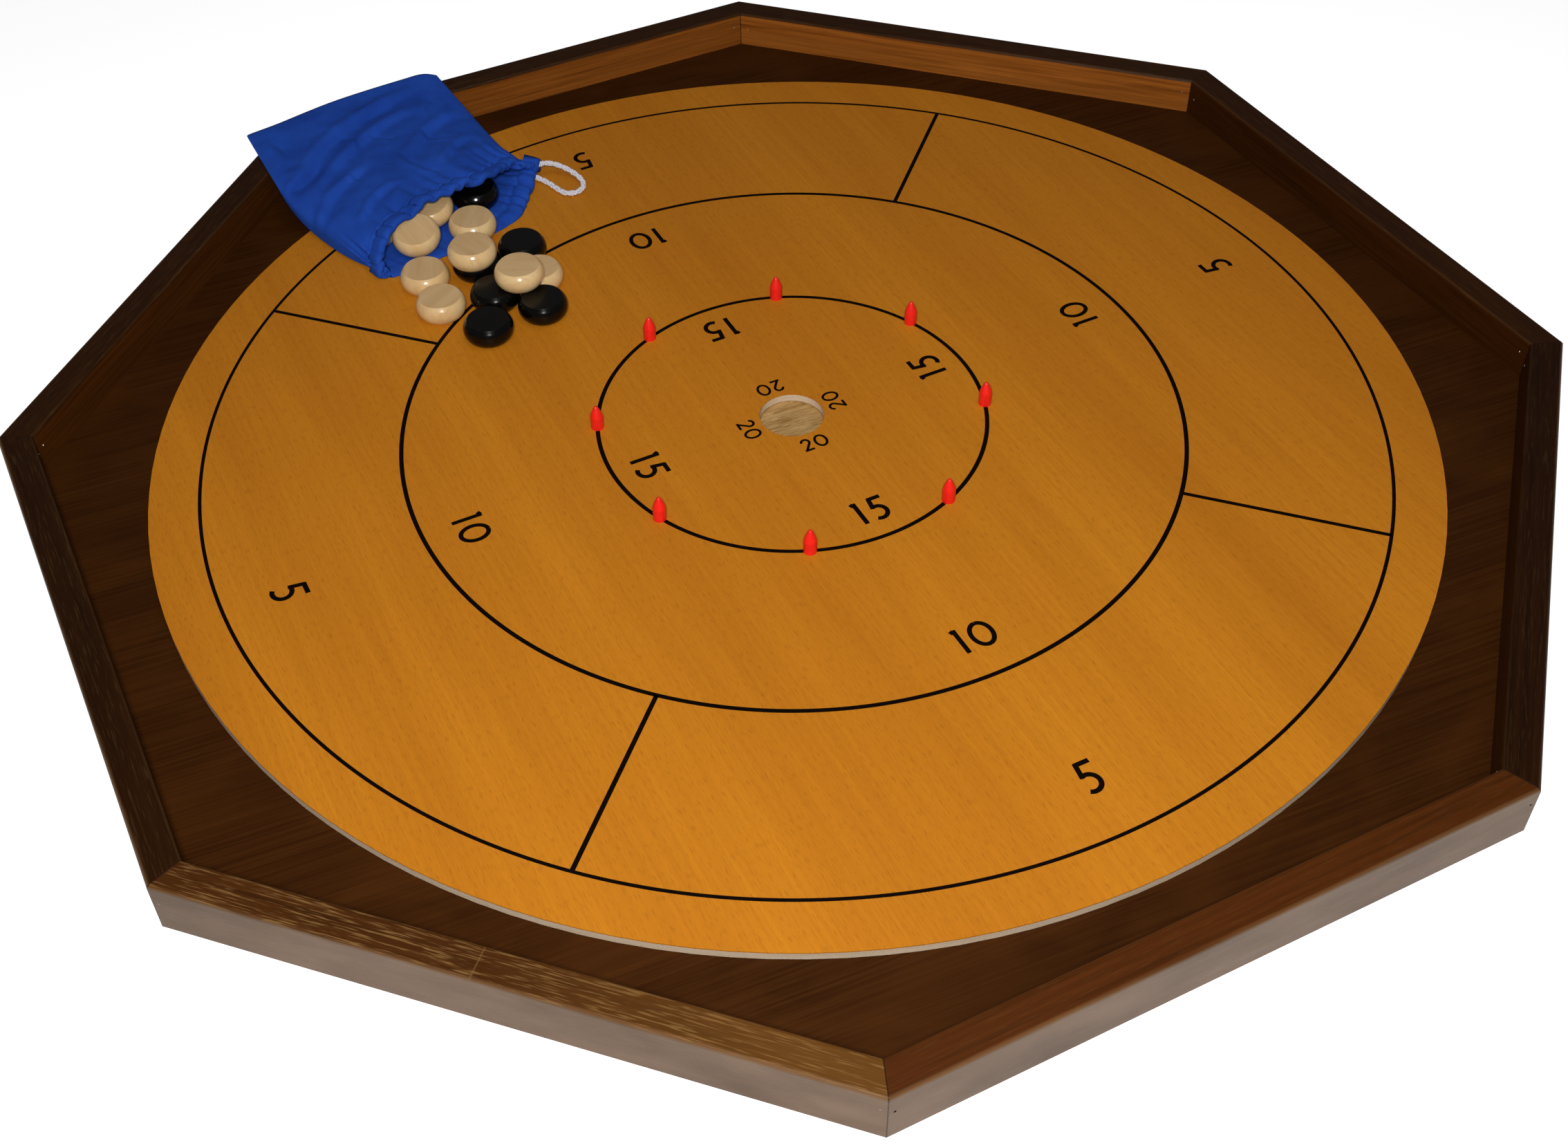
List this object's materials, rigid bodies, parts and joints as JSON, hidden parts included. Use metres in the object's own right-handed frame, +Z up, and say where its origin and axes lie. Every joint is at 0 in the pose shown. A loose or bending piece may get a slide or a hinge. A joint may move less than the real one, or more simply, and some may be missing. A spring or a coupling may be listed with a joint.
{
  "type": "crokinole board",
  "caption": "Octagonal crokinole board with a round playing disc, bumper pegs, centre hole, playing discs and a drawstring bag.",
  "frame": {"origin": "centre of the board's underside, on the surface that it lies on", "axes": "+Z up out of the playing face; -Y towards the player whose numerals read upright; +X to that player's right"},
  "size_m": [0.7504, 0.7504, 0.0364],
  "materials": {
    "ditch_ply": "dark stained plywood, satin lacquer",
    "mdf": "bare fibreboard edge",
    "beech_face": "lacquered beech laminate with printed lines",
    "rail_wood": "walnut stained hardwood, satin lacquer",
    "pin_steel": "bright cut pin ends",
    "screw_steel": "zinc plated",
    "peg_plastic": "bright red moulded plastic",
    "disc_natural": "turned maple, clear lacquer",
    "disc_black": "black gloss lacquer on turned wood",
    "bag_cotton": "royal blue cotton cloth",
    "cord_braid": "white braided cord"
  },
  "bodies": {
    "board": {"base_panel": "ditch_ply", "playing_core": "mdf", "playing_face": "beech_face", "rail_1": "rail_wood", "rail_2": "rail_wood", "rail_3": "rail_wood", "rail_4": "rail_wood", "rail_5": "rail_wood", "rail_6": "rail_wood", "rail_7": "rail_wood", "rail_8": "rail_wood", "corner_pins": "pin_steel", "base_screws": "screw_steel"},
    "peg_1": {"peg_1": "peg_plastic"},
    "peg_2": {"peg_2": "peg_plastic"},
    "peg_3": {"peg_3": "peg_plastic"},
    "peg_4": {"peg_4": "peg_plastic"},
    "peg_5": {"peg_5": "peg_plastic"},
    "peg_6": {"peg_6": "peg_plastic"},
    "peg_7": {"peg_7": "peg_plastic"},
    "peg_8": {"peg_8": "peg_plastic"},
    "natural_1": {"natural_disc_1": "disc_natural"},
    "natural_2": {"natural_disc_2": "disc_natural"},
    "natural_3": {"natural_disc_3": "disc_natural"},
    "natural_4": {"natural_disc_4": "disc_natural"},
    "natural_5": {"natural_disc_5": "disc_natural"},
    "natural_6": {"natural_disc_6": "disc_natural"},
    "black_1": {"black_disc_1": "disc_black"},
    "black_2": {"black_disc_2": "disc_black"},
    "black_3": {"black_disc_3": "disc_black"},
    "black_4": {"black_disc_4": "disc_black"},
    "black_5": {"black_disc_5": "disc_black"},
    "bag": {"drawstring_bag": "bag_cotton", "drawstring": "cord_braid", "natural_disc_7": "disc_natural", "natural_disc_8": "disc_natural", "natural_disc_9": "disc_natural", "black_disc_6": "disc_black"}
  },
  "joints": [
    {"name": "peg_1_pull", "type": "slide", "parent": "board", "child": "peg_1", "axis": [0, 0, 1], "range_m": [0, 0.02]},
    {"name": "peg_2_pull", "type": "slide", "parent": "board", "child": "peg_2", "axis": [0, 0, 1], "range_m": [0, 0.02]},
    {"name": "peg_3_pull", "type": "slide", "parent": "board", "child": "peg_3", "axis": [0, 0, 1], "range_m": [0, 0.02]},
    {"name": "peg_4_pull", "type": "slide", "parent": "board", "child": "peg_4", "axis": [0, 0, 1], "range_m": [0, 0.02]},
    {"name": "peg_5_pull", "type": "slide", "parent": "board", "child": "peg_5", "axis": [0, 0, 1], "range_m": [0, 0.02]},
    {"name": "peg_6_pull", "type": "slide", "parent": "board", "child": "peg_6", "axis": [0, 0, 1], "range_m": [0, 0.02]},
    {"name": "peg_7_pull", "type": "slide", "parent": "board", "child": "peg_7", "axis": [0, 0, 1], "range_m": [0, 0.02]},
    {"name": "peg_8_pull", "type": "slide", "parent": "board", "child": "peg_8", "axis": [0, 0, 1], "range_m": [0, 0.02]},
    {"name": "natural_1_lift", "type": "slide", "parent": "board", "child": "natural_1", "axis": [0, 0, 1], "range_m": [0, 0.06]},
    {"name": "natural_2_lift", "type": "slide", "parent": "board", "child": "natural_2", "axis": [0, 0, 1], "range_m": [0, 0.06]},
    {"name": "natural_3_lift", "type": "slide", "parent": "black_5", "child": "natural_3", "axis": [0, 0, 1], "range_m": [0, 0.06]},
    {"name": "natural_4_lift", "type": "slide", "parent": "black_3", "child": "natural_4", "axis": [0, 0, 1], "range_m": [0, 0.06]},
    {"name": "natural_5_shot", "type": "slide", "parent": "board", "child": "natural_5", "axis": [0.9781, 0.2079, 0], "range_m": [0, 0.3]},
    {"name": "natural_6_lift", "type": "slide", "parent": "bag", "child": "natural_6", "axis": [0, 0, 1], "range_m": [0, 0.04]},
    {"name": "black_1_shot", "type": "slide", "parent": "board", "child": "black_1", "axis": [0.6451, -0.7641, 0], "range_m": [0, 0.1483]},
    {"name": "black_2_shot", "type": "slide", "parent": "board", "child": "black_2", "axis": [0.9781, -0.2079, 0], "range_m": [0, 0.3]},
    {"name": "black_3_lift", "type": "slide", "parent": "board", "child": "black_3", "axis": [0, 0, 1], "range_m": [0, 0.06]},
    {"name": "black_4_lift", "type": "slide", "parent": "board", "child": "black_4", "axis": [0, 0, 1], "range_m": [0, 0.06]},
    {"name": "black_5_lift", "type": "slide", "parent": "board", "child": "black_5", "axis": [0, 0, 1], "range_m": [0, 0.06]},
    {"name": "bag_lift", "type": "slide", "parent": "board", "child": "bag", "axis": [0, 0, 1], "range_m": [0, 0.1]}
  ]
}
